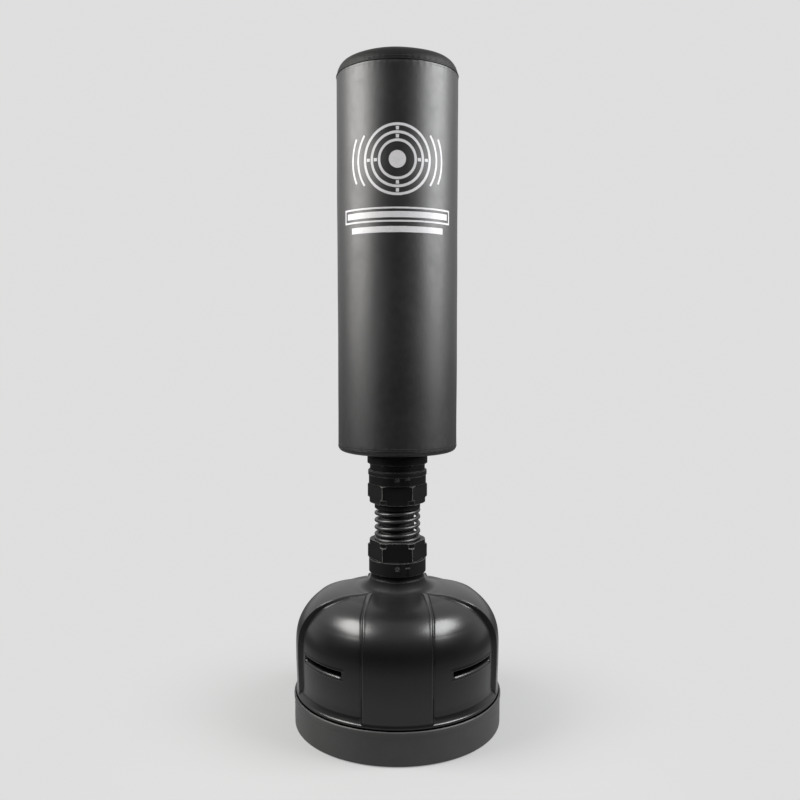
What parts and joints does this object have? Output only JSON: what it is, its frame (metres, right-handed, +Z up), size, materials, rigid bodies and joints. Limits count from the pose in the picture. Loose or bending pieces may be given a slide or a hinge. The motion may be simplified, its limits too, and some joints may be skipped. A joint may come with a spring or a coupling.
{
  "type": "free-standing punch bag",
  "caption": "Tall padded punch bag on a coil-spring neck, standing on a round fillable base with suction feet; the bag sways and springs back.",
  "frame": {"origin": "centre of the base on the floor, at the bottom of the suction feet", "axes": "+Z up along the bag, -Y towards the front of the bag, +Y towards the zip and the filler cap, +X to the right seen from the front"},
  "size_m": [0.5292, 0.5292, 1.66],
  "materials": {
    "tank_plastic": "satin",
    "tray_plastic": "satin",
    "foot_rubber": "matte",
    "screw_steel": "satin",
    "cap_plastic": "satin",
    "seal_rubber": "matte",
    "pipe_plastic": "matte",
    "connector_plastic": "satin",
    "nut_plastic": "satin",
    "washer_plastic": "matte",
    "lock_screw_steel": "satin",
    "seat_plastic": "satin",
    "spring_steel": "gloss",
    "buffer_rubber": "matte",
    "flange_plastic": "satin",
    "board_wood": "matte",
    "foam_firm": "matte",
    "foam_soft": "matte",
    "cover_leather": "satin",
    "piping_leather": "satin",
    "zip_fabric": "matte",
    "zip_metal": "satin"
  },
  "bodies": {
    "base": {"base_tray": "tray_plastic", "base_tank": "tank_plastic", "suction_feet": "foot_rubber", "tray_screws": "screw_steel", "post_tube": "pipe_plastic", "lower_connector": "connector_plastic", "lower_lock_screws": "lock_screw_steel", "lower_spring_seat": "seat_plastic"},
    "filler_lift": {"filler_seal": "seal_rubber"},
    "filler_turn": {"filler_cap": "cap_plastic"},
    "lower_nut_lift": {"lower_nut_washer": "washer_plastic"},
    "lower_nut_turn": {"lower_union_nut": "nut_plastic"},
    "spring": {"coil_spring": "spring_steel", "rubber_buffer": "buffer_rubber"},
    "bag": {"upper_spring_seat": "seat_plastic", "upper_connector": "connector_plastic", "upper_lock_screws": "lock_screw_steel", "bottom_flange": "flange_plastic", "flange_screws": "screw_steel", "core_tube": "pipe_plastic", "core_tube_cap": "cap_plastic", "bottom_board": "board_wood", "foam_core": "foam_firm", "foam_outer": "foam_soft", "foam_top_pad": "foam_soft", "bag_cover": "cover_leather", "bag_top_cap": "cover_leather", "bag_bottom_cap": "cover_leather", "top_piping": "piping_leather", "zip_tape": "zip_fabric", "zip_stops": "zip_metal"},
    "upper_nut_lift": {"upper_nut_washer": "washer_plastic"},
    "upper_nut_turn": {"upper_union_nut": "nut_plastic"},
    "zip_runner": {"zip_slider": "zip_metal"},
    "zip_tab": {"zip_pull": "zip_metal"}
  },
  "joints": [
    {"name": "sway_side", "type": "hinge", "parent": "base", "child": "spring", "pos_m": [0, 0, 0.487], "axis": [0, 1, 0], "range_deg": [-12, 12], "stiffness_Nm_per_rad": 420, "deforming": ["coil_spring", "rubber_buffer"]},
    {"name": "sway_front", "type": "hinge", "parent": "spring", "child": "bag", "pos_m": [0, 0, 0.528], "axis": [1, 0, 0], "range_deg": [-12, 12], "stiffness_Nm_per_rad": 420, "deforming": ["coil_spring", "rubber_buffer"]},
    {"name": "filler_lift_slide", "type": "slide", "parent": "base", "child": "filler_lift", "axis": [0, 0, 1], "range_m": [0, 0.018]},
    {"name": "filler_turn_hinge", "type": "hinge", "parent": "filler_lift", "child": "filler_turn", "pos_m": [0, 0.165, 0.366], "axis": [0, 0, 1], "range_deg": [0, 1080]},
    {"name": "lower_nut_slide", "type": "slide", "parent": "base", "child": "lower_nut_lift", "axis": [0, 0, 1], "range_m": [0, 0.018]},
    {"name": "lower_nut_hinge", "type": "hinge", "parent": "lower_nut_lift", "child": "lower_nut_turn", "pos_m": [0, 0, 0.4455], "axis": [0, 0, 1], "range_deg": [0, 1080]},
    {"name": "upper_nut_slide", "type": "slide", "parent": "bag", "child": "upper_nut_lift", "axis": [0, 0, -1], "range_m": [0, 0.018]},
    {"name": "upper_nut_hinge", "type": "hinge", "parent": "upper_nut_lift", "child": "upper_nut_turn", "pos_m": [0, 0, 0.588], "axis": [0, 0, -1], "range_deg": [0, 1080]},
    {"name": "zip_slide", "type": "slide", "parent": "bag", "child": "zip_runner", "axis": [0, 0, -1], "range_m": [0, 0.858]},
    {"name": "zip_pull_hinge", "type": "hinge", "parent": "zip_runner", "child": "zip_tab", "pos_m": [0, 0.1576, 1.5908], "axis": [1, 0, 0], "range_deg": [0, 150]}
  ],
  "couplings": [
    {"joint": "filler_turn_hinge", "follows": "filler_lift_slide", "rad_per_m": 1047.2},
    {"joint": "lower_nut_hinge", "follows": "lower_nut_slide", "rad_per_m": 1047.2},
    {"joint": "upper_nut_hinge", "follows": "upper_nut_slide", "rad_per_m": 1047.2}
  ]
}
